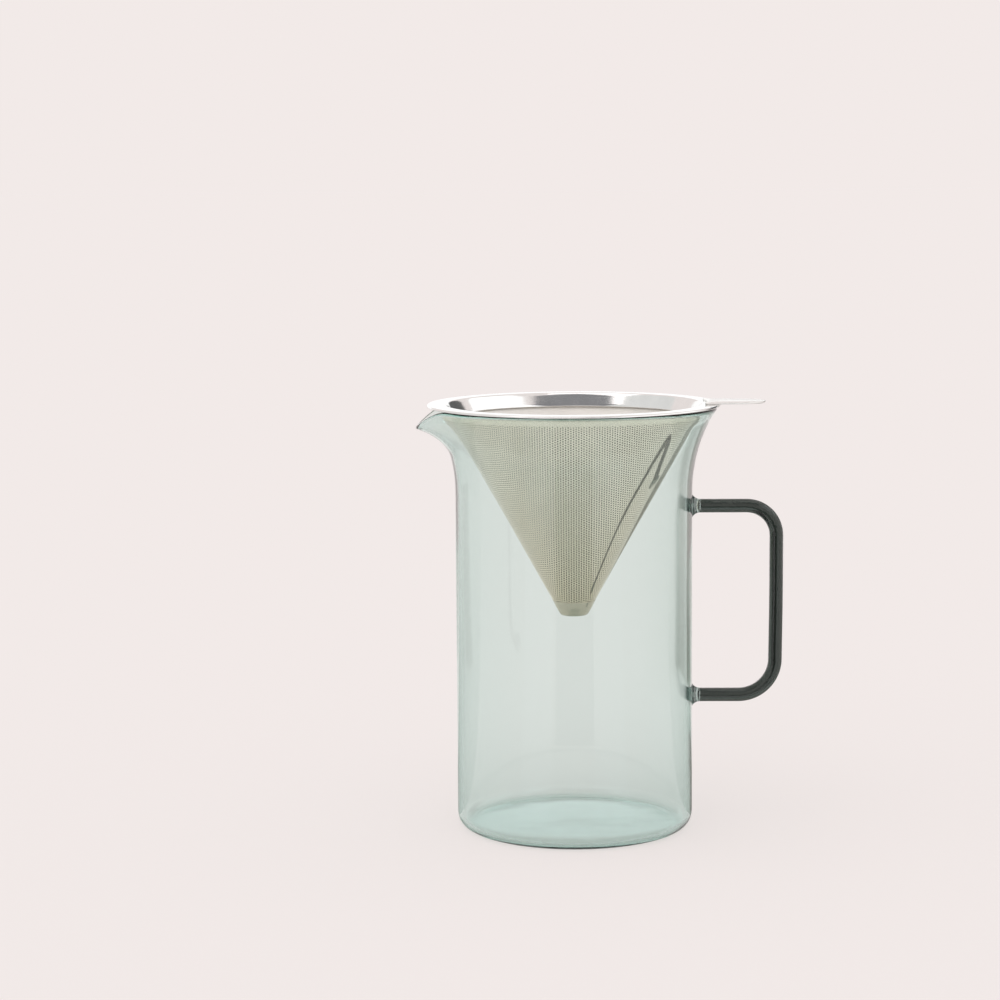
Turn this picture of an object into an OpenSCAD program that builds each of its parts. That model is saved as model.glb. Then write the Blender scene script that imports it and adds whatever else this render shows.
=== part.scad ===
// Pour-over coffee maker: a blown glass jug with a rod handle, and a steel cone filter that hangs in its mouth.
// Millimetres, +Z up. The origin is the centre of the jug's base. The spout points to -X and the handle to +X.

/* [Jug] */
// Outer diameter of the straight wall
body_d = 100; // [85:1:120]
// Height from the table to the top of the lip
jug_h = 179.8; // [160:0.2:220]
// Glass thickness of the wall
wall = 2; // [1.5:0.1:3]
// Glass thickness of the floor
floor_t = 2.8; // [2:0.1:6]
// Outer radius where the wall turns into the base
base_r = 6; // [2.5:0.1:9]
// Inner radius where the wall turns into the floor
floor_r = 5; // [2:0.1:10]
// Height of the flared zone under the lip
flare_h = 36.5; // [28:0.5:42]
// Outer diameter of the lip
mouth_d = 120.4; // [112:0.2:121]
// How much the fire-polished lip swells past each face of the wall
lip_swell = 0.2; // [0.1:0.05:0.5]

/* [Spout] */
// How far the spout's tip stands out from the lip
spout_reach = 6.2; // [4:0.1:9]
// How far the tip lies below the top of the lip
spout_drop = 7.9; // [5:0.1:11]
// Height below the lip where the spout leaves the flare
spout_start = 19.5; // [16:0.5:24]
// Half the opening angle of the spout's cone
spout_spread = 36; // [25:1:38]
// Radius at the bottom of the spout's channel
spout_nose = 0.8; // [0.4:0.1:2]
// Slope of the spout's lip down to its tip
spout_slope = 38; // [30:1:48]

/* [Handle] */
// Diameter of the glass rod
rod_d = 5.8; // [5:0.1:8]
// Distance from the wall to the axis of the grip bar
handle_reach = 35.5; // [30:0.1:45]
// Distance from the start of the flare down to the top bar's axis
handle_drop = 6.3; // [6:0.1:25]
// Distance between the axes of the top and bottom bars
handle_span = 81; // [70:0.5:95]
// Bend radius of the upper corner, on the rod's axis
bend_top_r = 12.7; // [9:0.1:18]
// Bend radius of the lower corner, on the rod's axis
bend_low_r = 15.5; // [9:0.1:22]
// Diameter of a weld bead where it meets the wall
weld_d = 9.6; // [8:0.1:12]
// Length of a weld bead from the wall to the rod
weld_len = 3.4; // [3:0.1:7]

/* [Filter] */
// How far the brim stands out past the lip
brim_over = 1.7; // [1.2:0.1:6]
// Thickness of the brim's sheet
brim_t = 0.6; // [0.4:0.1:0.8]
// Height of the brim's turned-down outer edge
skirt_h = 1.1; // [1:0.1:3]
// Outer radius of the bend into the turned-down edge
skirt_r = 0.9; // [0.8:0.1:1]
// Depth of the plain collar below the brim's top
collar_h = 6; // [4:0.5:10]
// Depth of the whole filter below the brim's top
filter_depth = 90; // [75:1:95]
// Gap between the inside of the lip and the cone, at the brim's top
cone_gap = 2.3; // [1.5:0.1:6]
// Outer diameter of the cone, taken down to the bottom of the tip
tip_d = 11; // [8:0.2:16]
// Thickness of the perforated outer cone
cone_t = 0.4; // [0.3:0.1:0.6]
// Thickness of the fine inner mesh
mesh_t = 0.3; // [0.2:0.1:0.5]
// Height of the tip cap
cap_h = 6.5; // [4:0.5:10]
// Thickness of the tip cap's sheet
cap_t = 0.4; // [0.3:0.1:0.8]
// Radius of the tip cap's bottom edge
cap_r = 1.6; // [0.8:0.1:2]

/* [Grip tab] */
// How far the tab stands out from the brim
tab_len = 18.7; // [14:0.1:28]
// Width of the tab at its root
tab_w = 23; // [18:0.5:28]
// Radius of the tab's round end
tab_end_r = 9.5; // [7:0.1:9.9]
// Thickness of the tab
tab_t = 0.8; // [0.5:0.1:1.2]
// How far the tab's root laps over the brim
tab_lap = 5; // [3:0.1:5.5]

/* [Fits] */
// Gap between the lip and the brim that rests on it
lip_gap = 0.3; // [0.2:0.05:0.6]
// Gap between the layers of the filter
layer_gap = 0.1; // [0.05:0.05:0.2]
// Gap between a weld bead and the wall
weld_gap = 0.05; // [0.05:0.05:0.2]

/* [Hidden] */
$fn = 96;

jug_glass = [0.78, 0.85, 0.82, 0.45];
dark_glass = [0.16, 0.21, 0.20, 0.9];
bead_glass = [0.55, 0.62, 0.59, 0.7];
bright_steel = [0.86, 0.86, 0.85];
mesh_steel = [0.66, 0.64, 0.57];

// Radius of the arc that leaves a line at a tangent and stands out by e over the length h
function arc_r(e, h) = (e * e + h * h) / (2 * e);

body_r = body_d / 2;
mouth_r = mouth_d / 2;
half_wall = wall / 2;
lip_r = half_wall + lip_swell;
flare_z = jug_h - flare_h;
// The middle of the wall runs on an arc up to the centre of the round lip
flare_mid_r = arc_r(mouth_r - lip_r - body_r + half_wall, flare_h - lip_r);
flare_r = flare_mid_r - half_wall;
flare_angle = asin((flare_h - lip_r) / flare_mid_r);

// Outer radius of the flare at height z
function flare_x(z) = body_r + flare_r - sqrt(flare_r * flare_r - (z - flare_z) * (z - flare_z));

spout_z = jug_h - spout_start;
spout_x = flare_x(spout_z);
tip_x = mouth_r + spout_reach;
tip_z = jug_h - spout_drop;
spout_rise = atan2(tip_z - spout_z, tip_x - spout_x);
spout_axis = spout_rise + spout_spread;
// The spout's cone starts half a wall inside the glass
spout_apex_x = spout_x - half_wall * cos(spout_rise);
spout_apex_z = spout_z - half_wall * sin(spout_rise);
spout_len = 2 * spout_start;

brim_z = jug_h + lip_gap + brim_t;
brim_r = mouth_r + brim_over;
cone_r = mouth_r - 2 * lip_r - cone_gap;
tip_bottom = brim_z - filter_depth;
cone_slope = (cone_r - tip_d / 2) / filter_depth;
cone_cos = cos(atan(cone_slope));
cone_top = brim_z - brim_t - layer_gap;
cone_foot = tip_bottom + cap_t + layer_gap;
mesh_in = cone_t + layer_gap;
collar_in = mesh_in + mesh_t + layer_gap;
cap_out = layer_gap + cap_t;

// Radius of the cone at height z, measured a depth d inside its outer face
function cone_x(z, d) = cone_r - (brim_z - z) * cone_slope - d / cone_cos;

grip_x = body_r + handle_reach;
handle_top_z = flare_z - handle_drop;
handle_low_z = handle_top_z - handle_span;
rod_r = rod_d / 2;
rod_start = body_r + weld_len;

// Cross-section of the jug's inside, up to the flare
module inside_section() {
    inner_r = body_r - wall;
    translate([0, floor_t])
        square([inner_r - floor_r, jug_h]);
    translate([0, floor_t + floor_r])
        square([inner_r, jug_h]);
    translate([inner_r - floor_r, floor_t + floor_r])
        circle(floor_r);
}

// Cross-section of the straight wall and the floor
module straight_section() {
    difference() {
        union() {
            square([body_r - base_r, flare_z]);
            translate([0, base_r])
                square([body_r, flare_z - base_r]);
            translate([body_r - base_r, base_r])
                circle(base_r);
        }
        inside_section();
    }
}

// The part of the plane that the flare's arc covers, seen from the arc's centre, out to the radius r
module flare_sector(r) {
    far = 2 * r;
    polygon([[0, 0], [-far, 0], [-far * cos(flare_angle / 2), far * sin(flare_angle / 2)],
             [-far * cos(flare_angle), far * sin(flare_angle)]]);
}

// Cross-section of the flare between two depths of the wall, with the round lip
module flare_section() {
    translate([body_r + flare_r, flare_z])
        intersection() {
            difference() {
                circle(flare_r + wall);
                circle(flare_r);
            }
            flare_sector(flare_r + wall);
        }
    translate([mouth_r - lip_r, jug_h - lip_r])
        circle(lip_r);
}

module jug_wall() {
    rotate_extrude()
        union() {
            straight_section();
            flare_section();
        }
}

// Everything inside the middle of the wall, from below the flare to above the lip
module inside_of_wall() {
    rotate_extrude()
        difference() {
            translate([0, flare_z - flare_h / 2])
                square([mouth_r - lip_r, 2 * flare_h]);
            translate([body_r + flare_r, flare_z])
                circle(flare_mid_r);
            translate([body_r - half_wall, flare_z - flare_h])
                square([flare_h, flare_h]);
        }
}

// The spout's cone, a distance d inside its outer face, cut off where its radius is nose
module spout_cone(d, nose) {
    translate([-spout_apex_x, 0, spout_apex_z])
        rotate([0, spout_axis - 90, 0])
            translate([0, 0, d / sin(spout_spread) + nose / tan(spout_spread)])
                cylinder(h = spout_len, r1 = nose, r2 = nose + spout_len * tan(spout_spread));
}

// Everything above the spout's sloping lip
module above_spout() {
    side = 2 * mouth_r;
    translate([-tip_x, 0, tip_z])
        rotate([0, -spout_slope, 0])
            translate([-side / 2, -side / 2, 0])
                cube([side, side, side / 2]);
}

module carafe_body() {
    color(jug_glass)
        difference() {
            union() {
                jug_wall();
                difference() {
                    spout_cone(0, 0);
                    inside_of_wall();
                    above_spout();
                }
            }
            spout_cone(wall, spout_nose);
            above_spout();
        }
}

// A quarter bend of the rod in the plane of the handle, from the angle a round its centre
module rod_bend(r, a) {
    rotate([90, 0, 0])
        rotate([0, 0, a])
            rotate_extrude(angle = 90)
                translate([r, 0])
                    circle(rod_r);
}

// A level bar that leaves the weld bead at height z and runs up to its bend of radius r
module rod_bar(z, r) {
    translate([rod_start, 0, z])
        rotate([0, 90, 0])
            cylinder(h = grip_x - r - rod_start, r = rod_r);
}

module handle_rod() {
    color(dark_glass)
        union() {
            rod_bar(handle_top_z, bend_top_r);
            translate([grip_x - bend_top_r, 0, handle_top_z - bend_top_r])
                rod_bend(bend_top_r, 0);
            translate([grip_x, 0, handle_low_z + bend_low_r])
                cylinder(h = handle_span - bend_top_r - bend_low_r, r = rod_r);
            translate([grip_x - bend_low_r, 0, handle_low_z + bend_low_r])
                rod_bend(bend_low_r, -90);
            rod_bar(handle_low_z, bend_low_r);
        }
}

// A bead that flares from the rod to the wall, with its axis at height z
module weld_bead(z) {
    foot = wall / 2;
    fillet_r = arc_r(weld_d / 2 - rod_r, weld_len);
    color(bead_glass)
        difference() {
            translate([body_r, 0, z])
                rotate([0, 90, 0])
                    rotate_extrude()
                        difference() {
                            translate([0, -foot])
                                square([weld_d / 2, weld_len + foot]);
                            translate([rod_r + fillet_r, weld_len])
                                circle(fillet_r);
                        }
            cylinder(h = jug_h, r = body_r + weld_gap);
        }
}

module handle_weld_upper() {
    weld_bead(handle_top_z);
}

module handle_weld_lower() {
    weld_bead(handle_low_z);
}

// Cross-section of what the brim covers, a distance d inside its upper and outer faces
module skirt_section(d) {
    bend_x = brim_r - skirt_r;
    bend_z = brim_z - skirt_r;
    low_z = brim_z - skirt_h - d;
    ring_x = cone_x(brim_z, collar_in + brim_t / 2) - d;
    translate([ring_x, low_z])
        square([bend_x - ring_x, brim_z - d - low_z]);
    translate([ring_x, low_z])
        square([brim_r - d - ring_x, bend_z - low_z]);
    translate([bend_x, bend_z])
        circle(skirt_r - d);
}

module filter_brim() {
    collar_z = brim_z - collar_h;
    color(bright_steel)
        rotate_extrude()
            union() {
                // Collar, down inside the cone
                polygon([[cone_x(brim_z, collar_in), brim_z], [cone_x(brim_z, collar_in + brim_t), brim_z],
                         [cone_x(collar_z, collar_in + brim_t), collar_z],
                         [cone_x(collar_z, collar_in), collar_z]]);
                // Flat ring with its turned-down edge
                difference() {
                    skirt_section(0);
                    skirt_section(brim_t);
                }
            }
}

module filter_tab() {
    end_x = brim_r + tab_len - tab_end_r;
    root_x = brim_r - skirt_r - tab_lap;
    half_w = tab_w / 2;
    reach = end_x - root_x;
    // The tab's sides run at a tangent into its round end
    taper = acos(tab_end_r / sqrt(half_w * half_w + reach * reach)) - atan2(reach, half_w);
    turn = 90 - taper;
    round_end = [for (i = [-12 : 12]) [end_x + tab_end_r * cos(turn * i / 12), tab_end_r * sin(turn * i / 12)]];
    color(bright_steel)
        translate([0, 0, brim_z])
            linear_extrude(height = tab_t)
                difference() {
                    polygon(concat([[root_x - tab_lap, half_w], [root_x - tab_lap, -half_w],
                                    [root_x, -half_w]], round_end, [[root_x, half_w]]));
                    circle(root_x);
                }
}

// One layer of the cone from the height z0 to z1, between the depths d0 and d1 inside its outer face
module cone_layer(z0, z1, d0, d1) {
    rotate_extrude()
        polygon([[cone_x(z0, d0), z0], [cone_x(z1, d0), z1], [cone_x(z1, d1), z1], [cone_x(z0, d1), z0]]);
}

module filter_outer_cone() {
    color(mesh_steel)
        cone_layer(cone_foot, cone_top, 0, cone_t);
}

module filter_inner_mesh() {
    color(mesh_steel)
        cone_layer(cone_foot, cone_top, mesh_in, mesh_in + mesh_t);
}

module filter_tip_cap() {
    cap_z = tip_bottom + cap_h;
    floor_z = tip_bottom + cap_t;
    tilt = atan(cone_slope);
    // Centre of the round edge, a radius inside both the bottom and the sloping side
    edge_z = tip_bottom + cap_r;
    edge_x = cone_x(edge_z, -cap_out) - cap_r / cone_cos;
    edge = [for (a = [-90 : 10 : -tilt]) [edge_x + cap_r * cos(a), edge_z + cap_r * sin(a)]];
    color(bright_steel)
        rotate_extrude()
            polygon(concat([[0, tip_bottom]], edge,
                           [[cone_x(cap_z, -cap_out), cap_z], [cone_x(cap_z, -layer_gap), cap_z],
                            [cone_x(floor_z, -layer_gap), floor_z], [0, floor_z]]));
}

carafe_body();
handle_rod();
handle_weld_upper();
handle_weld_lower();
filter_brim();
filter_tab();
filter_outer_cone();
filter_inner_mesh();
filter_tip_cap();
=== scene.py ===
# Pour-over coffee maker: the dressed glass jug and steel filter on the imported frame, and a plain studio.
import math

import bmesh
import bpy
from mathutils import Matrix, Vector


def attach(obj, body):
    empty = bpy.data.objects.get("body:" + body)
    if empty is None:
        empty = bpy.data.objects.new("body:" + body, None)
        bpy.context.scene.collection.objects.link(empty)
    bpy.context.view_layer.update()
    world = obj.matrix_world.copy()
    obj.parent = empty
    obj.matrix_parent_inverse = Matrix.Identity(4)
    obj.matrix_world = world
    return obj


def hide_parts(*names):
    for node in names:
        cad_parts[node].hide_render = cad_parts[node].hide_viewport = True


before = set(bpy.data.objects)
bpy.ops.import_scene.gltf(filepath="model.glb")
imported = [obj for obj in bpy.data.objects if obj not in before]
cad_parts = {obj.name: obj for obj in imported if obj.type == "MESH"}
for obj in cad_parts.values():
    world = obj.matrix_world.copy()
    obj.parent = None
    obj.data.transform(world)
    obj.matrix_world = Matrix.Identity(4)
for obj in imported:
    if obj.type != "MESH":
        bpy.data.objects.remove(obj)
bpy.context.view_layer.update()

MM = 0.001
TURN = 2 * math.pi

# Jug, in millimetres, as in the part's source, but with a thinner base and a slight hollow under it.
# LIP_START is the share of the flare where the wall begins to swell towards the lip.
BODY_R = 50.0
JUG_H = 179.8
WALL = 2.0
HALF_WALL = WALL / 2
LIP_SWELL = 0.2
LIP_START = 0.85
LIP_R = HALF_WALL + LIP_SWELL
FLOOR_T = 2.1
BASE_R = 6.0
FLOOR_R = 4.0
FLARE_H = 36.5
MOUTH_R = 60.2
FLARE_Z = JUG_H - FLARE_H
PUNT = 0.7
JUG_SIDES = 288

# Spout. SPOUT_START is the share of the flare where it begins, SPOUT_CURVE how late it is pulled out.
SPOUT_REACH = 6.2
SPOUT_DROP = 7.9
SPOUT_START = 0.44
SPOUT_CURVE = 1.35
SPOUT_WIDTH = math.radians(11)
SPOUT_SPREAD = math.radians(4)
SPOUT_PINCH = 0.6
SHOULDER_TURN = math.radians(28)
SHOULDER_WIDTH = 0.7 * SPOUT_WIDTH

# Handle. LEAN is how far the grip's lower end stands in, below LEAN_TOP_Z.
ROD_R = 2.9
ROD_SIDES = 40
GRIP_X = 85.5
BAR_TOP_Z = 137.0
BAR_LOW_Z = 56.0
BEND_TOP_R = 12.7
BEND_LOW_R = 15.5
WELD_R = 4.8
WELD_LEN = 3.4
WELD_GAP = 0.05
DOME = 2.4
LEAN = 0.5
LEAN_TOP_Z = 97.0
LEAN_R = 1500.0

# Filter
BRIM_R = 61.9
BRIM_T = 0.6
BRIM_Z = 180.7
SKIRT_H = 1.1
SKIRT_R = 0.9
COLLAR_H = 6.0
COLLAR_BEND_R = 0.7
FILTER_DEPTH = 90.0
FILTER_SIDES = 256
CONE_R = 55.5
TIP_R = 5.5
CONE_T = 0.4
MESH_T = 0.3
CAP_H = 6.5
CAP_T = 0.4
CAP_R = 1.6
CAP_STEP = 0.25
CAP_FEATHER = 2.5
CAP_SIDES = 128
LAYER_GAP = 0.1
TAB_LEN = 18.7
TAB_HALF_W = 11.5
TAB_END_R = 9.5
TAB_T = 0.8
TAB_LAP = 5.0
TAB_SOFT = 0.22

# Holes of the outer cone, its plain ends, and the plain seam down its back
PITCH = 1.21
HOLE_R = 0.335
PLAIN_TOP = 3.4
PLAIN_LOW = 2.2
PLAIN_LAP = 0.6
PLAIN_UNDER = 0.02
SEAM_HALF_W = 1.3
SEAM_LAP = 0.7
SEAM_RISE = 0.03

# Threads of the inner mesh: how many run down it, and the distance between those that run round it,
# along the slope and in metres
THREADS_DOWN = 420.0
THREAD_PITCH = 0.00035

# Height where the outer cone's painted shade begins: darker and browner from here towards its tip
TIP_SHADE_TOP = 158.0

CONE_SLOPE = (CONE_R - TIP_R) / FILTER_DEPTH
CONE_ANGLE = math.atan(CONE_SLOPE)
TIP_Z = BRIM_Z - FILTER_DEPTH
CONE_TOP = BRIM_Z - BRIM_T - LAYER_GAP
CONE_FOOT = TIP_Z + CAP_T + LAYER_GAP


def cone_x(z, depth):
    """Radius of the filter's cone at height z, a depth inside its outer face."""
    return CONE_R - (BRIM_Z - z) * CONE_SLOPE - depth / math.cos(CONE_ANGLE)


def arc_r(e, h):
    """Radius of the arc that leaves a line at a tangent and stands out by e over the length h."""
    return (e * e + h * h) / (2 * e)


def arc(cx, cz, r, a0, a1, count):
    """Points of an arc round (cx, cz), angles in radians, both ends included."""
    return [(cx + r * math.cos(a0 + (a1 - a0) * i / count), cz + r * math.sin(a0 + (a1 - a0) * i / count))
            for i in range(count + 1)]


def line(p, q, count):
    """Points from p to q, both ends included."""
    return [(p[0] + (q[0] - p[0]) * i / count, p[1] + (q[1] - p[1]) * i / count) for i in range(count + 1)]


def rounded_path(corners, radii, step):
    """A path along straight lines between corners, with each inner corner rounded to its radius."""
    path = [corners[0]]
    for before, corner, after, r in zip(corners, corners[1:], corners[2:], radii):
        u = Vector(before) - Vector(corner)
        v = Vector(after) - Vector(corner)
        u.normalize()
        v.normalize()
        half = math.acos(max(-1.0, min(1.0, u.dot(v)))) / 2
        cut = r / math.tan(half)
        start = Vector(corner) + u * cut
        end = Vector(corner) + v * cut
        centre = Vector(corner) + (u + v).normalized() * (r / math.sin(half))
        a0 = math.atan2(start.y - centre.y, start.x - centre.x)
        a1 = math.atan2(end.y - centre.y, end.x - centre.x)
        a1 -= TURN * round((a1 - a0) / TURN)
        count = max(4, int(abs(a1 - a0) * r / step))
        path += arc(centre.x, centre.y, r, a0, a1, count)
    return path + [corners[-1]]


def split_long(path, longest):
    """The same path with extra points on its long stretches."""
    points = [path[0]]
    for p, q in zip(path, path[1:]):
        count = max(1, math.ceil(math.dist(p, q) / longest))
        points += line(p, q, count)[1:]
    return points


def direction(path, i):
    """The unit direction of a path at its point i."""
    before = Vector(path[max(i - 1, 0)])
    after = Vector(path[min(i + 1, len(path) - 1)])
    return (after - before).normalized()


def sheet_outline(path, thickness):
    """The outline of bent sheet metal whose middle follows a path, with rounded ends."""
    half = thickness / 2
    normals = []
    for i, _ in enumerate(path):
        d = direction(path, i)
        normals.append(Vector((-d.y, d.x)))
    left = [tuple(Vector(p) + n * half) for p, n in zip(path, normals)]
    right = [tuple(Vector(p) - n * half) for p, n in zip(path, normals)]

    def cap(point, normal):
        a0 = math.atan2(normal.y, normal.x)
        return arc(point[0], point[1], half, a0, a0 - math.pi, 6)[1:-1]

    return left + cap(path[-1], normals[-1]) + right[::-1] + cap(path[0], -normals[0])


def grid(first, rows, count, closed):
    """Faces between rows of points that follow each other. A closed row joins its last point to its first."""
    faces = []
    for n in range(rows):
        a = first + n * count
        for i in range(count if closed else count - 1):
            j = (i + 1) % count
            faces.append([a + i, a + j, a + count + j, a + count + i])
    return faces


def lathe(profile, segments, closed, shape=None):
    """Points and faces of a profile of (radius, height) turned round Z. A shape may move each point."""
    verts = []
    rings = []
    for k, (r, z) in enumerate(profile):
        if r < 1e-6:
            rings.append([len(verts)] * segments)
            verts.append((0.0, 0.0, z))
            continue
        rings.append(list(range(len(verts), len(verts) + segments)))
        for i in range(segments):
            a = TURN * i / segments
            pr, pz = shape(k, r, z, a) if shape else (r, z)
            verts.append((pr * math.cos(a), pr * math.sin(a), pz))
    faces = []
    pairs = list(zip(rings, rings[1:]))
    if closed:
        pairs.append((rings[-1], rings[0]))
    for low, high in pairs:
        for i in range(segments):
            j = (i + 1) % segments
            corners = []
            for v in (low[i], low[j], high[j], high[i]):
                if v not in corners:
                    corners.append(v)
            faces.append(corners)
    return verts, faces


def piece(name, mesh_data, body, nodes):
    """A smooth piece from points in millimetres that rides on a body and stands for CAD nodes."""
    verts, faces = mesh_data
    mesh = bpy.data.meshes.new(name)
    mesh.from_pydata([(x * MM, y * MM, z * MM) for x, y, z in verts], [], faces)
    bm = bmesh.new()
    bm.from_mesh(mesh)
    bmesh.ops.recalc_face_normals(bm, faces=bm.faces)
    bm.to_mesh(mesh)
    bm.free()
    mesh.polygons.foreach_set("use_smooth", [True] * len(mesh.polygons))
    obj = bpy.data.objects.new(name, mesh)
    bpy.context.collection.objects.link(obj)
    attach(obj, body)
    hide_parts(*nodes)
    return obj


def jug_mesh():
    """The blown jug: one closed skin from the underside up the wall, over the lip and down the inside."""
    mid_r = arc_r(MOUTH_R - LIP_R - BODY_R + HALF_WALL, FLARE_H - LIP_R)
    swing = math.asin((FLARE_H - LIP_R) / mid_r)
    centre_x = BODY_R + mid_r - HALF_WALL
    inner_r = BODY_R - WALL
    lip_x = MOUTH_R - LIP_R
    lip_z = JUG_H - LIP_R
    steps = 40

    def half_wall(share):
        """Half the wall, which swells towards the round lip."""
        near = max(0.0, (share - LIP_START) / (1 - LIP_START))
        return HALF_WALL + LIP_SWELL * near * near * (3 - 2 * near)

    # Each entry is a point and its share of the flare, from 0 under the flare to 1 at the lip
    profile = []
    foot = BODY_R - BASE_R
    for share, height in ((0.0, 1.0), (0.35, 0.96), (0.65, 0.72), (0.82, 0.35), (0.93, 0.08)):
        profile.append(((foot * share, PUNT * height), 0.0))
    profile += [(p, 0.0) for p in arc(foot, BASE_R, BASE_R, -math.pi / 2, 0, 14)]
    profile += [(p, 0.0) for p in line((BODY_R, BASE_R), (BODY_R, FLARE_Z), 20)[1:-1]]
    for i in range(steps + 1):
        a = swing * i / steps
        r = mid_r - half_wall(i / steps)
        profile.append(((centre_x - r * math.cos(a), FLARE_Z + r * math.sin(a)), i / steps))
    profile += [(p, 1.0) for p in arc(lip_x, lip_z, LIP_R, -swing, math.pi - swing, 12)[1:-1]]
    for i in range(steps, -1, -1):
        a = swing * i / steps
        r = mid_r + half_wall(i / steps)
        profile.append(((centre_x - r * math.cos(a), FLARE_Z + r * math.sin(a)), i / steps))
    turn_z = FLOOR_T + FLOOR_R
    profile += [(p, 0.0) for p in line((inner_r, FLARE_Z), (inner_r, turn_z), 20)[1:-1]]
    profile += [(p, 0.0) for p in arc(inner_r - FLOOR_R, turn_z, FLOOR_R, 0, -math.pi / 2, 12)]
    for share, height in ((0.82, 0.1), (0.65, 0.5), (0.35, 0.9), (0.0, 1.0)):
        profile.append(((foot * share, FLOOR_T + PUNT * height), 0.0))

    def spout(k, r, z, a):
        """A point of the flare, pulled out and down near the spout, and in on the spout's two shoulders."""
        share = profile[k][1]
        if share <= SPOUT_START:
            return r, z
        s = (share - SPOUT_START) / (1 - SPOUT_START)
        pull = s ** SPOUT_CURVE
        turn = abs(a - math.pi)
        width = SPOUT_WIDTH + SPOUT_SPREAD * (1 - s)
        bump = pull * math.exp(-0.5 * (turn / width) ** 2)
        dent = pull * math.exp(-0.5 * ((turn - SHOULDER_TURN) / SHOULDER_WIDTH) ** 2)
        return r + SPOUT_REACH * bump - SPOUT_PINCH * dent, z - SPOUT_DROP * bump

    return lathe([p for p, _ in profile], JUG_SIDES, False, spout)


def rod_mesh():
    """The handle's rod, swept along its bent path. Its grip leans in a little towards the bottom."""
    arc_step = 0.8
    longest = 4.0
    start = BODY_R + WELD_LEN + WELD_GAP
    corners = [(start, BAR_TOP_Z), (GRIP_X, BAR_TOP_Z), (GRIP_X, LEAN_TOP_Z), (GRIP_X - LEAN, BAR_LOW_Z),
               (start, BAR_LOW_Z)]
    path = split_long(rounded_path(corners, [BEND_TOP_R, LEAN_R, BEND_LOW_R], arc_step), longest)
    verts = []
    for i, point in enumerate(path):
        d = direction(path, i)
        for k in range(ROD_SIDES):
            a = TURN * k / ROD_SIDES
            across = ROD_R * math.cos(a)
            verts.append((point[0] - d.y * across, ROD_R * math.sin(a), point[1] + d.x * across))
    faces = grid(0, len(path) - 1, ROD_SIDES, True)
    for first, z in ((0, BAR_TOP_Z), ((len(path) - 1) * ROD_SIDES, BAR_LOW_Z)):
        add_dome(verts, faces, first, start, z)
    return verts, faces


def add_dome(verts, faces, first, x, z):
    """Closes a ring of points of a handle bar with a shallow dome towards the jug."""
    rings = 6
    before = list(range(first, first + ROD_SIDES))
    for i in range(1, rings):
        a = math.pi / 2 * i / rings
        ring = [len(verts) + k for k in range(ROD_SIDES)]
        for v in range(first, first + ROD_SIDES):
            _, y, height = verts[v]
            verts.append((x - DOME * math.sin(a), y * math.cos(a), z + (height - z) * math.cos(a)))
        for k in range(ROD_SIDES):
            m = (k + 1) % ROD_SIDES
            faces.append([before[k], before[m], ring[m], ring[k]])
        before = ring
    verts.append((x - DOME, 0.0, z))
    for k in range(ROD_SIDES):
        faces.append([before[k], before[(k + 1) % ROD_SIDES], len(verts) - 1])


def bead_mesh(z):
    """A bead of glass that flares from the rod to the wall, with its foot bent to the wall."""
    steps = 14
    fillet = arc_r(WELD_R - ROD_R, WELD_LEN)
    verts = []
    for i in range(steps + 1):
        t = WELD_LEN * i / steps
        ring = ROD_R + fillet - math.sqrt(fillet ** 2 - (WELD_LEN - t) ** 2)
        for k in range(ROD_SIDES):
            a = TURN * k / ROD_SIDES
            y = ring * math.cos(a)
            wall_x = math.sqrt((BODY_R + WELD_GAP) ** 2 - y * y)
            x = wall_x + (BODY_R + WELD_LEN - wall_x) * i / steps
            verts.append((x, y, z + ring * math.sin(a)))
    faces = grid(0, steps, ROD_SIDES, True)
    verts.append((BODY_R + WELD_GAP, 0.0, z))
    foot = len(verts) - 1
    for k in range(ROD_SIDES):
        faces.append([foot, k, (k + 1) % ROD_SIDES])
    add_dome(verts, faces, steps * ROD_SIDES, BODY_R + WELD_LEN, z)
    return verts, faces


def brim_mesh():
    """The pressed brim: a short collar, a flat ring and a turned-down edge in one bent sheet."""
    arc_step = 0.15
    longest = 1.0
    collar_z = BRIM_Z - COLLAR_H
    depth = CONE_T + LAYER_GAP + MESH_T + LAYER_GAP + BRIM_T / 2
    top = BRIM_Z - BRIM_T / 2
    edge = BRIM_R - BRIM_T / 2
    corners = [(cone_x(collar_z, depth), collar_z + BRIM_T / 2), (cone_x(top, depth), top), (edge, top),
               (edge, BRIM_Z - SKIRT_H + BRIM_T / 2)]
    path = split_long(rounded_path(corners, [COLLAR_BEND_R, SKIRT_R - BRIM_T / 2], arc_step), longest)
    return lathe(sheet_outline(path, BRIM_T), FILTER_SIDES, True)


def cap_mesh():
    """The plain pressed cup that closes the tip. Its upper edge runs out thin against the cone."""
    steps = 8
    longest = 0.8
    thinning = 0.8
    clear = -0.01
    top = TIP_Z + CAP_H
    edge_z = TIP_Z + CAP_R
    edge_x = cone_x(edge_z, -CAP_STEP) - CAP_R / math.cos(CONE_ANGLE)
    outer = [(0.0, TIP_Z)] + arc(edge_x, edge_z, CAP_R, -math.pi / 2, -CONE_ANGLE, 12)
    for i in range(steps + 1):
        z = top - CAP_FEATHER * (steps - i) / steps
        outer.append((cone_x(z, -CAP_STEP * (1 - thinning * i / steps)), z))
    floor_z = TIP_Z + CAP_T
    inner = [(cone_x(top, clear), top), (cone_x(floor_z, clear), floor_z), (0.0, floor_z)]
    return lathe(split_long(outer, longest) + split_long(inner, longest), CAP_SIDES, False)


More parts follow.
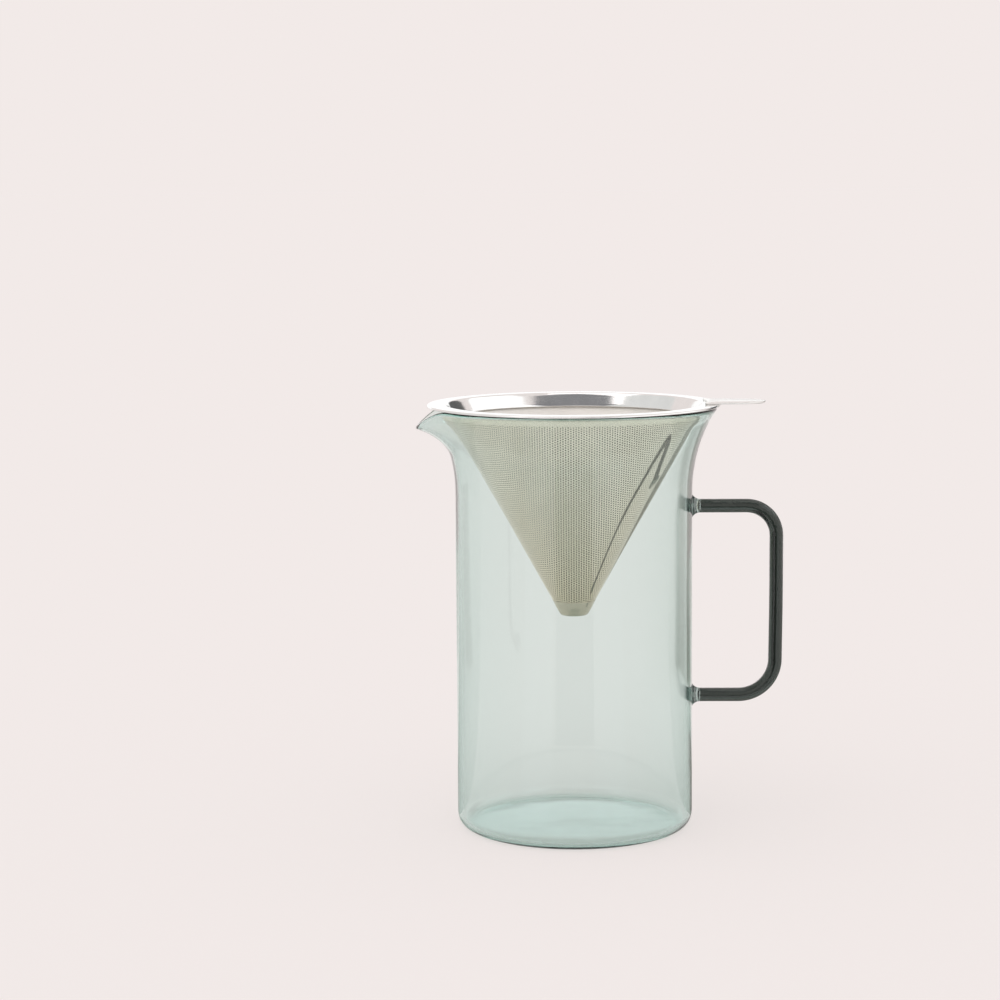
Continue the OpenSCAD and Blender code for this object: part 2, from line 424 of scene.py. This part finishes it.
def mesh_cone():
    """The fine inner cone, one thin closed layer."""
    longest = 2.0
    middle = CONE_T + LAYER_GAP + MESH_T / 2
    ends = [(cone_x(CONE_FOOT, middle), CONE_FOOT + MESH_T / 2),
            (cone_x(CONE_TOP, middle), CONE_TOP - MESH_T / 2)]
    return lathe(sheet_outline(split_long(ends, longest), MESH_T), FILTER_SIDES, True)


def perforated_cone():
    """The outer cone: a flat sheet with a hexagonal pattern of holes, rolled up with its seam at the back.

    The holes are laid out on the flat sheet, so their rows run along the slope at the front and turn
    round the sides.
    """
    sin_a = math.sin(CONE_ANGLE)
    cos_a = math.cos(CONE_ANGLE)
    apex_z = BRIM_Z - CONE_R / CONE_SLOPE
    half_sector = math.pi * sin_a
    s_top = (CONE_TOP - apex_z) / cos_a
    s_low = (CONE_FOOT - apex_z) / cos_a
    s_holes_top = s_top - PLAIN_TOP
    s_holes_low = s_low + PLAIN_LOW
    corner_r = PITCH / math.sqrt(3)
    verts = []
    faces = []
    shared = {}

    def spot(s, a, lift):
        """A point at a slant height and an angle round the axis, lifted off the cone's face."""
        r = s * sin_a + lift * cos_a
        return (r * math.cos(a), r * math.sin(a), apex_z + s * cos_a - lift * sin_a)

    def roll(u, v):
        """A point of the flat sheet on the cone; the flat sheet's axis points at -Y."""
        return spot(math.hypot(u, v), math.atan2(u, v) / sin_a - math.pi / 2, 0.0)

    def corner(u, v):
        """The number of a hexagon's corner, which the hexagons round it share."""
        key = (round(u / PITCH * 12), round(v / PITCH * 12))
        if key not in shared:
            shared[key] = len(verts)
            verts.append(roll(u, v))
        return shared[key]

    # One hexagon of sheet round each hole
    row = PITCH * math.sqrt(3) / 2
    span = int(s_top / row) + 2
    for i in range(-span, span + 1):
        for j in range(-span, span + 1):
            u = i * row
            v = (j + 0.5 * (i % 2)) * PITCH
            s = math.hypot(u, v)
            to_edge = (half_sector - abs(math.atan2(u, v))) * s
            if s < s_holes_low or s > s_holes_top or to_edge < SEAM_HALF_W:
                continue
            outer = []
            inner = []
            for k in range(6):
                a = math.pi / 3 * k
                outer.append(corner(u + corner_r * math.cos(a), v + corner_r * math.sin(a)))
                inner.append(len(verts))
                verts.append(roll(u + HOLE_R * math.cos(a), v + HOLE_R * math.sin(a)))
            for k in range(6):
                m = (k + 1) % 6
                faces.append([outer[k], outer[m], inner[m], inner[k]])

    def band(s0, s1, steps):
        """A plain ring of sheet between two slant heights, just under the sheet with holes."""
        first = len(verts)
        for n in range(steps + 1):
            s = s0 + (s1 - s0) * n / steps
            verts.extend([spot(s, TURN * i / FILTER_SIDES, -PLAIN_UNDER) for i in range(FILTER_SIDES)])
        faces.extend(grid(first, steps, FILTER_SIDES, True))

    band(s_low, s_holes_low + PLAIN_LAP, 2)
    band(s_holes_top - PLAIN_LAP, s_top, 3)

    # Welded seam: a narrow plain strip down the back
    rows = 60
    across = (-1, -0.5, 0, 0.5, 1)
    first = len(verts)
    for n in range(rows + 1):
        s = s_low + (s_top - s_low) * n / rows
        for w in across:
            a = math.pi / 2 + w * (SEAM_HALF_W + SEAM_LAP) / (s * sin_a)
            verts.append(spot(s, a, SEAM_RISE * (1 - abs(w)) - PLAIN_UNDER))
    faces.extend(grid(first, rows, len(across), False))
    return verts, faces


def tab_mesh():
    """The flat grip tab with a round end and softened edges, lying on the brim."""
    longest = 2.0
    end_x = BRIM_R + TAB_LEN - TAB_END_R
    root_x = BRIM_R - SKIRT_R - TAB_LAP
    reach = end_x - root_x
    taper = math.acos(TAB_END_R / math.hypot(TAB_HALF_W, reach)) - math.atan2(reach, TAB_HALF_W)
    turn = math.pi / 2 - taper
    bevel = 0.3 * TAB_SOFT

    def outline(inset):
        end = arc(end_x, 0.0, TAB_END_R - inset, -turn, turn, 40)
        root_r = root_x + inset
        root_a = math.asin((TAB_HALF_W - inset) / root_r)
        root = arc(0.0, 0.0, root_r, root_a, -root_a, 20)
        return split_long(end + root + [end[0]], longest)[:-1]

    # Each level is how far its outline stands in, and its height over the brim
    levels = [(TAB_SOFT, 0.0), (bevel, bevel), (0.0, TAB_SOFT), (0.0, TAB_T - TAB_SOFT),
              (bevel, TAB_T - bevel), (TAB_SOFT, TAB_T)]
    verts = []
    for inset, lift in levels:
        verts += [(x, y, BRIM_Z + lift) for x, y in outline(inset)]
    count = len(outline(0.0))
    last = len(levels) - 1
    faces = grid(0, last, count, True)
    faces.append(list(range(count)))
    faces.append([last * count + i for i in range(count)])
    return verts, faces


def adder(tree):
    """A short way to add nodes to a node tree, which is emptied first."""
    tree.nodes.clear()

    def add(kind, inputs=None, **settings):
        node = tree.nodes.new(kind)
        for key, value in settings.items():
            setattr(node, key, value)
        for key, value in (inputs or {}).items():
            if isinstance(value, bpy.types.NodeSocket):
                tree.links.new(value, node.inputs[key])
            else:
                node.inputs[key].default_value = value
        return node

    return add


def material(name):
    """A new material and a short way to add nodes to it."""
    mat = bpy.data.materials.new(name)
    mat.use_nodes = True
    return mat, adder(mat.node_tree)


def mix_colours(add, share, first, second):
    """A colour between two. Inputs 6 and 7 of the Mix node are its colours."""
    return add("ShaderNodeMix", {0: share, 6: first, 7: second}, data_type="RGBA").outputs[2]


def two_tones(add, value, low, dark, high, colour):
    """A colour that goes from a dark tone at one value to a lighter one at another."""
    ramp = add("ShaderNodeValToRGB", {"Fac": value})
    elements = ramp.color_ramp.elements
    elements[0].position = low
    elements[0].color = (*dark, 1.0)
    elements[1].position = high
    elements[1].color = (*colour, 1.0)
    return ramp.outputs["Color"]


def glass(name, absorb, shadow, wave, wave_height, stretch):
    """Clear glass with a tint that grows with its thickness, and the slow waves of blown or drawn glass.

    absorb is the loss per metre in red, green and blue, and shadow is the light that each face lets through.
    """
    mat, add = material(name)
    place = add("ShaderNodeTexCoord").outputs["Object"]
    spread = add("ShaderNodeVectorMath", {0: place, 1: (1.0, 1.0, stretch)}, operation="MULTIPLY").outputs[0]
    noise = add("ShaderNodeTexNoise", {"Vector": spread, "Scale": wave, "Detail": 2.0, "Roughness": 0.45})
    bump = add("ShaderNodeBump", {"Height": noise.outputs["Fac"], "Strength": 1.0, "Distance": wave_height})
    body = add("ShaderNodeBsdfPrincipled", {"Base Color": (1.0, 1.0, 1.0, 1.0), "Transmission Weight": 1.0,
                                            "IOR": 1.47, "Roughness": 0.0,
                                            "Normal": bump.outputs["Normal"]})
    clear = add("ShaderNodeBsdfTransparent", {"Color": (*shadow, 1.0)})
    path = add("ShaderNodeLightPath")
    mix = add("ShaderNodeMixShader", {0: path.outputs["Is Shadow Ray"], 1: body.outputs[0],
                                      2: clear.outputs[0]})
    density = max(absorb) * 1.05
    colour = [1.0 - a / density for a in absorb]
    fog = add("ShaderNodeVolumeAbsorption", {"Color": (*colour, 1.0), "Density": density})
    add("ShaderNodeOutputMaterial", {"Surface": mix.outputs[0], "Volume": fog.outputs[0]})
    return mat


def axis_angle(add, xyz):
    """The angle round the Z axis."""
    return add("ShaderNodeMath", {0: xyz.outputs["Y"], 1: xyz.outputs["X"]}, operation="ARCTAN2").outputs[0]


def turned_place(add, place):
    """Coordinates in which noise draws lines round the Z axis, because the angle counts little."""
    xyz = add("ShaderNodeSeparateXYZ", {0: place})
    flat = add("ShaderNodeVectorMath", {0: place, 1: (1.0, 1.0, 0.0)}, operation="MULTIPLY")
    radius = add("ShaderNodeVectorMath", {0: flat.outputs[0]}, operation="LENGTH")
    slow = add("ShaderNodeMath", {0: axis_angle(add, xyz), 1: 0.004}, operation="MULTIPLY")
    turned = add("ShaderNodeCombineXYZ", {0: radius.outputs["Value"], 1: slow.outputs[0],
                                          2: xyz.outputs["Z"]})
    return turned.outputs[0]


def steel(name, colour, dark, rough, patch, tip=None):
    """Steel with fine turned lines, slight stains and a roughness that follows them.

    patch sets how fine the stains are. A tip colour is painted shade, a faint darker brown that grows towards
    the tip.
    """
    mat, add = material(name)
    place = add("ShaderNodeTexCoord").outputs["Object"]
    turned = turned_place(add, place)
    lines = add("ShaderNodeTexNoise", {"Vector": turned, "Scale": 2600.0, "Detail": 4.0, "Roughness": 0.6})
    stain = add("ShaderNodeTexNoise", {"Vector": place, "Scale": patch, "Detail": 4.0, "Roughness": 0.6})
    tone = two_tones(add, stain.outputs["Fac"], 0.3, dark, 0.7, colour)
    # Painted shade: towards the tip the colour turns to the tip colour.
    if tip:
        height = add("ShaderNodeSeparateXYZ", {0: place}).outputs["Z"]
        near = add("ShaderNodeMapRange", {"Value": height, "From Min": TIP_SHADE_TOP * MM,
                                          "From Max": TIP_Z * MM})
        tone = mix_colours(add, near.outputs["Result"], tone, (*tip, 1.0))
    both = add("ShaderNodeMath", {0: lines.outputs["Fac"], 1: stain.outputs["Fac"]}, operation="ADD")
    level = add("ShaderNodeMapRange", {"Value": both.outputs[0], "From Min": 0.6, "From Max": 1.4,
                                       "To Min": rough * 0.75, "To Max": rough * 1.3})
    bump = add("ShaderNodeBump", {"Height": lines.outputs["Fac"], "Strength": 1.0, "Distance": 0.000004})
    body = add("ShaderNodeBsdfPrincipled", {"Base Color": tone, "Metallic": 1.0,
                                            "Roughness": level.outputs["Result"],
                                            "Normal": bump.outputs["Normal"]})
    add("ShaderNodeOutputMaterial", {"Surface": body.outputs[0]})
    return mat


def woven_steel(name, colour, dark, outer_shade, rough):
    """Fine woven wire: two sets of threads that cross, one down the slope and one round it.

    The shade colour is painted shade: a dark tone on the outer face, for the shade that the outer cone casts
    on it.
    """
    mat, add = material(name)
    place = add("ShaderNodeTexCoord").outputs["Object"]
    xyz = add("ShaderNodeSeparateXYZ", {0: place})

    def wave(value, count):
        turns = add("ShaderNodeMath", {0: value, 1: count}, operation="MULTIPLY")
        return add("ShaderNodeMath", {0: turns.outputs[0]}, operation="SINE").outputs[0]

    down = wave(axis_angle(add, xyz), THREADS_DOWN)
    round_about = wave(xyz.outputs["Z"], TURN / (THREAD_PITCH * math.cos(CONE_ANGLE)))
    weave = add("ShaderNodeMath", {0: down, 1: round_about}, operation="MULTIPLY")
    stain = add("ShaderNodeTexNoise", {"Vector": place, "Scale": 60.0, "Detail": 4.0})
    faint = add("ShaderNodeMath", {0: weave.outputs[0], 1: 0.25}, operation="MULTIPLY")
    both = add("ShaderNodeMath", {0: faint.outputs[0], 1: stain.outputs["Fac"]}, operation="ADD")
    tone = two_tones(add, both.outputs[0], 0.2, dark, 0.8, colour)
    # Painted shade: faces that point down and out, which make up the outer face, take the shade colour.
    facing = add("ShaderNodeSeparateXYZ", {0: add("ShaderNodeNewGeometry").outputs["Normal"]})
    shaded_face = add("ShaderNodeMath", {0: facing.outputs["Z"], 1: 0.0}, operation="LESS_THAN")
    tone = mix_colours(add, shaded_face.outputs[0], tone, (*outer_shade, 1.0))
    bump = add("ShaderNodeBump", {"Height": weave.outputs[0], "Strength": 0.6, "Distance": 0.00006})
    body = add("ShaderNodeBsdfPrincipled", {"Base Color": tone, "Metallic": 1.0, "Roughness": rough,
                                            "Normal": bump.outputs["Normal"]})
    add("ShaderNodeOutputMaterial", {"Surface": body.outputs[0]})
    return mat


jug = piece("glass_jug", jug_mesh(), "carafe", ["carafe_body"])
rod = piece("glass_handle", rod_mesh(), "carafe", ["handle_rod"])
bead_top = piece("bead_upper", bead_mesh(BAR_TOP_Z), "carafe", ["handle_weld_upper"])
bead_low = piece("bead_lower", bead_mesh(BAR_LOW_Z), "carafe", ["handle_weld_lower"])
brim = piece("steel_brim", brim_mesh(), "filter", ["filter_brim"])
tab = piece("steel_tab", tab_mesh(), "filter", ["filter_tab"])
cone = piece("perforated_cone", perforated_cone(), "filter", ["filter_outer_cone"])
inner = piece("inner_mesh", mesh_cone(), "filter", ["filter_inner_mesh"])
cap = piece("tip_cap", cap_mesh(), "filter", ["filter_tip_cap"])

jug_glass = glass("jug_glass", absorb=(62.0, 28.0, 35.0), shadow=(0.955, 0.955, 0.955),
                  wave=22.0, wave_height=0.0004, stretch=0.25)
rod_glass = glass("handle_glass", absorb=(610.0, 555.0, 580.0), shadow=(0.25, 0.28, 0.27),
                  wave=60.0, wave_height=0.0002, stretch=0.6)
bead_glass = glass("bead_glass", absorb=(120.0, 104.0, 108.0), shadow=(0.75, 0.8, 0.78),
                   wave=80.0, wave_height=0.0002, stretch=1.0)
brim_steel = steel("polished_steel", colour=(0.88, 0.88, 0.87), dark=(0.80, 0.80, 0.79),
                   rough=0.11, patch=90.0)
tab_steel = steel("tab_steel", colour=(0.90, 0.90, 0.88), dark=(0.82, 0.82, 0.80),
                  rough=0.22, patch=70.0)
# The outer cone's tip colour is painted shade, darker and browner towards the tip.
cone_steel = steel("perforated_steel", colour=(0.94, 0.89, 0.77), dark=(0.87, 0.82, 0.70),
                   rough=0.07, patch=60.0, tip=(0.79, 0.69, 0.52))
# The mesh's outer face carries painted shade for the outer cone's shade.
mesh_steel = woven_steel("mesh_steel", colour=(0.90, 0.88, 0.84), dark=(0.78, 0.76, 0.71),
                         outer_shade=(0.36, 0.33, 0.27), rough=0.3)
cap_steel = steel("cap_steel", colour=(0.66, 0.60, 0.48), dark=(0.60, 0.55, 0.44),
                  rough=0.14, patch=120.0)

for obj, mat in ((jug, jug_glass), (rod, rod_glass), (bead_top, bead_glass), (bead_low, bead_glass),
                 (brim, brim_steel), (tab, tab_steel), (cone, cone_steel), (inner, mesh_steel),
                 (cap, cap_steel)):
    obj.data.materials.append(mat)

# Studio, in metres and degrees: a pale floor and an even white light, with the photo's pale background.
# FLOOR_GLOW is how much of the floor shines by itself for the camera, FLOOR_GLOW_THROUGH for other rays.
BACKGROUND = (0.887, 0.823, 0.807)
SKY_LIGHT = 0.80
SUN_SHARE = 0.20
SUN_AZIMUTH = -35
SUN_ELEVATION = 58
SUN_ANGLE = 70
FLOOR_GLOW = 0.7
FLOOR_GLOW_THROUGH = 0.26
FLOOR_REACH = 40.0
FLOOR_Z = -0.00005
MAT_Z = 0.0006
FILTER_AIM = Vector((0.0, 0.0, 0.17))

# Camera, from a fit to the jug's outlines. Its sensor and lens are in millimetres.
CAMERA_PLACE = (0.0, -1.1, 0.2766)
CAMERA_PITCH = math.radians(7.091)
CAMERA_YAW = math.radians(-1.623)
CAMERA_ROLL = math.radians(-0.40)
CAMERA_SENSOR = 36.0
CAMERA_LENS = 94.41


def toward(azimuth, elevation):
    """A direction from the jug. Azimuth 0 is on the camera's side, 90 on the handle's."""
    a = math.radians(azimuth)
    e = math.radians(elevation)
    return Vector((math.sin(a) * math.cos(e), -math.cos(a) * math.cos(e), math.sin(e)))


def studio_world():
    """Even light for the object, and the pale background for the camera, reflections and glass."""
    world = bpy.data.worlds.new("studio")
    bpy.context.scene.world = world
    world.use_nodes = True
    add = adder(world.node_tree)
    path = add("ShaderNodeLightPath")
    seen = path.outputs["Is Camera Ray"]
    for ray in ("Is Glossy Ray", "Is Transmission Ray"):
        seen = add("ShaderNodeMath", {0: seen, 1: path.outputs[ray]}, operation="MAXIMUM").outputs[0]
    shown = add("ShaderNodeBackground", {"Color": (*BACKGROUND, 1.0)})
    light = add("ShaderNodeBackground", {"Color": (1.0, 1.0, 1.0, 1.0), "Strength": SKY_LIGHT})
    mix = add("ShaderNodeMixShader", {0: seen, 1: light.outputs[0], 2: shown.outputs[0]})
    add("ShaderNodeOutputWorld", {"Surface": mix.outputs[0]})


def board(name, corners, mat):
    """A flat board of the studio."""
    mesh = bpy.data.meshes.new(name)
    mesh.from_pydata(corners, [], [range(len(corners))])
    mesh.materials.append(mat)
    obj = bpy.data.objects.new(name, mesh)
    bpy.context.collection.objects.link(obj)
    return obj


def studio_floor():
    """A wide matt pale floor, just below the jug's base."""
    mat, add = material("floor")
    body = add("ShaderNodeBsdfPrincipled", {"Base Color": (*BACKGROUND, 1.0), "Roughness": 1.0,
                                            "Specular IOR Level": 0.0})
    glow = add("ShaderNodeEmission", {"Color": (*BACKGROUND, 1.0), "Strength": 1.0})
    path = add("ShaderNodeLightPath")
    part = add("ShaderNodeMapRange", {"Value": path.outputs["Is Camera Ray"], "To Min": FLOOR_GLOW_THROUGH,
                                      "To Max": FLOOR_GLOW})
    mix = add("ShaderNodeMixShader", {0: part.outputs[0], 1: body.outputs[0], 2: glow.outputs[0]})
    add("ShaderNodeOutputMaterial", {"Surface": mix.outputs[0]})
    square = ((-1, -1), (1, -1), (1, 1), (-1, 1))
    board("floor", [(x * FLOOR_REACH, y * FLOOR_REACH, FLOOR_Z) for x, y in square], mat)


def studio_sun():
    """A very soft sun from the upper left front."""
    sun = bpy.data.lights.new("sun", "SUN")
    sun.energy = SUN_SHARE * math.pi / math.sin(math.radians(SUN_ELEVATION))
    sun.angle = math.radians(SUN_ANGLE)
    obj = bpy.data.objects.new("sun", sun)
    obj.rotation_euler = toward(SUN_AZIMUTH, SUN_ELEVATION).to_track_quat("Z", "Y").to_euler()
    bpy.context.collection.objects.link(obj)


def studio_camera():
    """The camera, which is turned by its yaw, then its pitch, then its roll."""
    data = bpy.data.cameras.new("camera")
    data.sensor_width = CAMERA_SENSOR
    data.lens = CAMERA_LENS
    level = math.cos(CAMERA_PITCH)
    ahead = Vector((math.sin(CAMERA_YAW) * level, math.cos(CAMERA_YAW) * level, -math.sin(CAMERA_PITCH)))
    right = Vector((math.cos(CAMERA_YAW), -math.sin(CAMERA_YAW), 0.0))
    up = right.cross(ahead)
    side = right * math.cos(CAMERA_ROLL) + up * math.sin(CAMERA_ROLL)
    top = up * math.cos(CAMERA_ROLL) - right * math.sin(CAMERA_ROLL)
    turn = Matrix((side, top, -ahead)).transposed()
    obj = bpy.data.objects.new("camera", data)
    obj.matrix_world = Matrix.Translation(CAMERA_PLACE) @ turn.to_4x4()
    bpy.context.collection.objects.link(obj)
    bpy.context.scene.camera = obj


def unseen(name, corners, mat, glossy, through):
    """A board that only reflections, or views through glass, or both, see. It casts no shadow."""
    obj = board(name, corners, mat)
    obj.visible_camera = False
    obj.visible_diffuse = False
    obj.visible_glossy = glossy
    obj.visible_transmission = through
    obj.visible_shadow = False
    obj.visible_volume_scatter = False


def even_glow(name, level):
    """A material of even brightness for an unseen board."""
    mat, add = material(name)
    glow = add("ShaderNodeEmission", {"Color": (*level, 1.0), "Strength": 1.0})
    add("ShaderNodeOutputMaterial", {"Surface": glow.outputs[0]})
    return mat


def card(name, azimuth, elevation, distance, width, height, level):
    """An unseen board that faces the filter."""
    back = toward(azimuth, elevation)
    side = back.cross(Vector((0.0, 0.0, 1.0))).normalized() * width / 2
    rise = side.cross(back).normalized() * height / 2
    centre = FILTER_AIM + back * distance
    corners = [centre - side - rise, centre + side - rise, centre + side + rise, centre - side + rise]
    unseen(name, corners, even_glow(name, level), glossy=True, through=True)


def sector(near, far, start, end):
    """Corners of a mat on the floor, between two distances from the jug's axis and two angles.

    The angles start from the camera's side, and 90 is the handle's side.
    """
    steps = 24
    corners = []
    for reach, first, last in ((near, start, end), (far, end, start)):
        for i in range(steps + 1):
            a = math.radians(first + (last - first) * i / steps)
            corners.append((reach * math.sin(a), -reach * math.cos(a), MAT_Z))
    return corners


def mat_ahead(name, near, far, start, end, level):
    """A glowing board on the floor in front of the jug, of even brightness, that only reflections see: a
    painted reflection.
    """
    unseen(name, sector(near, far, start, end), even_glow(name, level), glossy=True, through=False)


def mat_aside(name, near, full, far, start, end, level):
    """A dark glowing board on the floor beside the jug that only reflections see: a painted reflection. It
    fades out from full to far.
    """
    mat, add = material(name)
    place = add("ShaderNodeTexCoord").outputs["Object"]
    reach = add("ShaderNodeVectorMath", {0: place}, operation="LENGTH").outputs["Value"]
    fade = add("ShaderNodeMapRange", {"Value": reach, "From Min": full, "From Max": far}).outputs["Result"]
    tone = mix_colours(add, fade, (*level, 1.0), (*BACKGROUND, 1.0))
    glow = add("ShaderNodeEmission", {"Color": tone, "Strength": 1.0})
    add("ShaderNodeOutputMaterial", {"Surface": glow.outputs[0]})
    unseen(name, sector(near, far, start, end), mat, glossy=True, through=False)


def shade_behind(name, stops):
    """A soft shade on the floor behind the handle's side, which the glass near that edge bends into view.

    It grows from clear at the inner line to its full strength at the outer line, and both lines spread to
    the back. It starts softly, well behind the jug, so that other views hardly meet it. Each stop is a
    share of the way from the inner to the outer line, and the light that is let through there. A line is
    its X at Y = 0 and its slope.
    """
    tint = (0.98, 1.0, 0.88)
    inner_line = (0.033, 0.0325)
    outer_line = (0.0475, 0.283)
    limit_line = (0.048, 0.62)
    near = 0.24
    full = 0.36
    far = 1.3
    mat, add = material(name)
    xyz = add("ShaderNodeSeparateXYZ", {0: add("ShaderNodeTexCoord").outputs["Object"]})

    def maths(operation, *values):
        return add("ShaderNodeMath", dict(enumerate(values)), operation=operation).outputs[0]

    def line_x(start, slope):
        return maths("MULTIPLY_ADD", xyz.outputs["Y"], slope, start)

    past = maths("SUBTRACT", xyz.outputs["X"], line_x(*inner_line))
    width = maths("SUBTRACT", line_x(*outer_line), line_x(*inner_line))
    begin = add("ShaderNodeMapRange", {"Value": xyz.outputs["Y"], "From Min": near, "From Max": full})
    share = maths("MULTIPLY", maths("DIVIDE", past, width), begin.outputs["Result"])
    ramp = add("ShaderNodeValToRGB", {"Fac": share})
    elements = ramp.color_ramp.elements
    while len(elements) < len(stops):
        elements.new(0.5)
    for element, (place, level) in zip(elements, stops):
        element.position = place
        element.color = (*[level * (1 - (1 - level) * (1 - t)) for t in tint], 1.0)
    film = add("ShaderNodeBsdfTransparent", {"Color": ramp.outputs["Color"]})
    add("ShaderNodeOutputMaterial", {"Surface": film.outputs[0]})
    corners = []
    for (start, slope), y in ((inner_line, near), (limit_line, near), (limit_line, far), (inner_line, far)):
        corners.append((start + slope * y, y, MAT_Z))
    unseen(name, corners, mat, glossy=False, through=True)


studio_world()
studio_floor()
studio_sun()
studio_camera()
card("dark_above", azimuth=0, elevation=51, distance=1.6, width=2.7, height=0.76,
     level=(0.24, 0.24, 0.25))
card("dark_behind", azimuth=147, elevation=12, distance=1.0, width=0.68, height=0.34,
     level=(0.12, 0.12, 0.12))
card("bright_right", azimuth=82, elevation=38, distance=1.2, width=2.0, height=0.6,
     level=(1.3, 1.3, 1.3))
card("grey_left", azimuth=-84, elevation=38, distance=1.2, width=1.6, height=0.6,
     level=(0.80, 0.80, 0.79))
card("bright_behind", azimuth=180, elevation=9, distance=2.0, width=3.0, height=0.42,
     level=(1.15, 1.15, 1.15))
shade_behind("shade_right", [(0.0, 1.0), (0.26, 0.96), (0.42, 0.87), (0.54, 0.44), (0.70, 0.36), (1.0, 0.33)])
mat_aside("dark_aside_right", near=0.056, full=0.25, far=0.85, start=100, end=149, level=(0.27, 0.27, 0.24))
mat_aside("dark_aside_left", near=0.056, full=0.35, far=1.6, start=-149, end=-100, level=(0.36, 0.36, 0.34))
mat_ahead("dark_ahead", near=0.25, far=1.6, start=-17, end=17, level=(0.12, 0.12, 0.12))
mat_ahead("bright_ahead_left", near=0.10, far=1.2, start=-46, end=-20, level=(1.1, 1.1, 1.1))
mat_ahead("bright_ahead_right", near=0.10, far=1.2, start=17, end=45, level=(1.0, 1.0, 1.0))

# Glass needs long light paths
cycles = bpy.context.scene.cycles
cycles.max_bounces = 32
cycles.transmission_bounces = 32
cycles.glossy_bounces = 16

bpy.context.scene.view_settings.view_transform = "Standard"
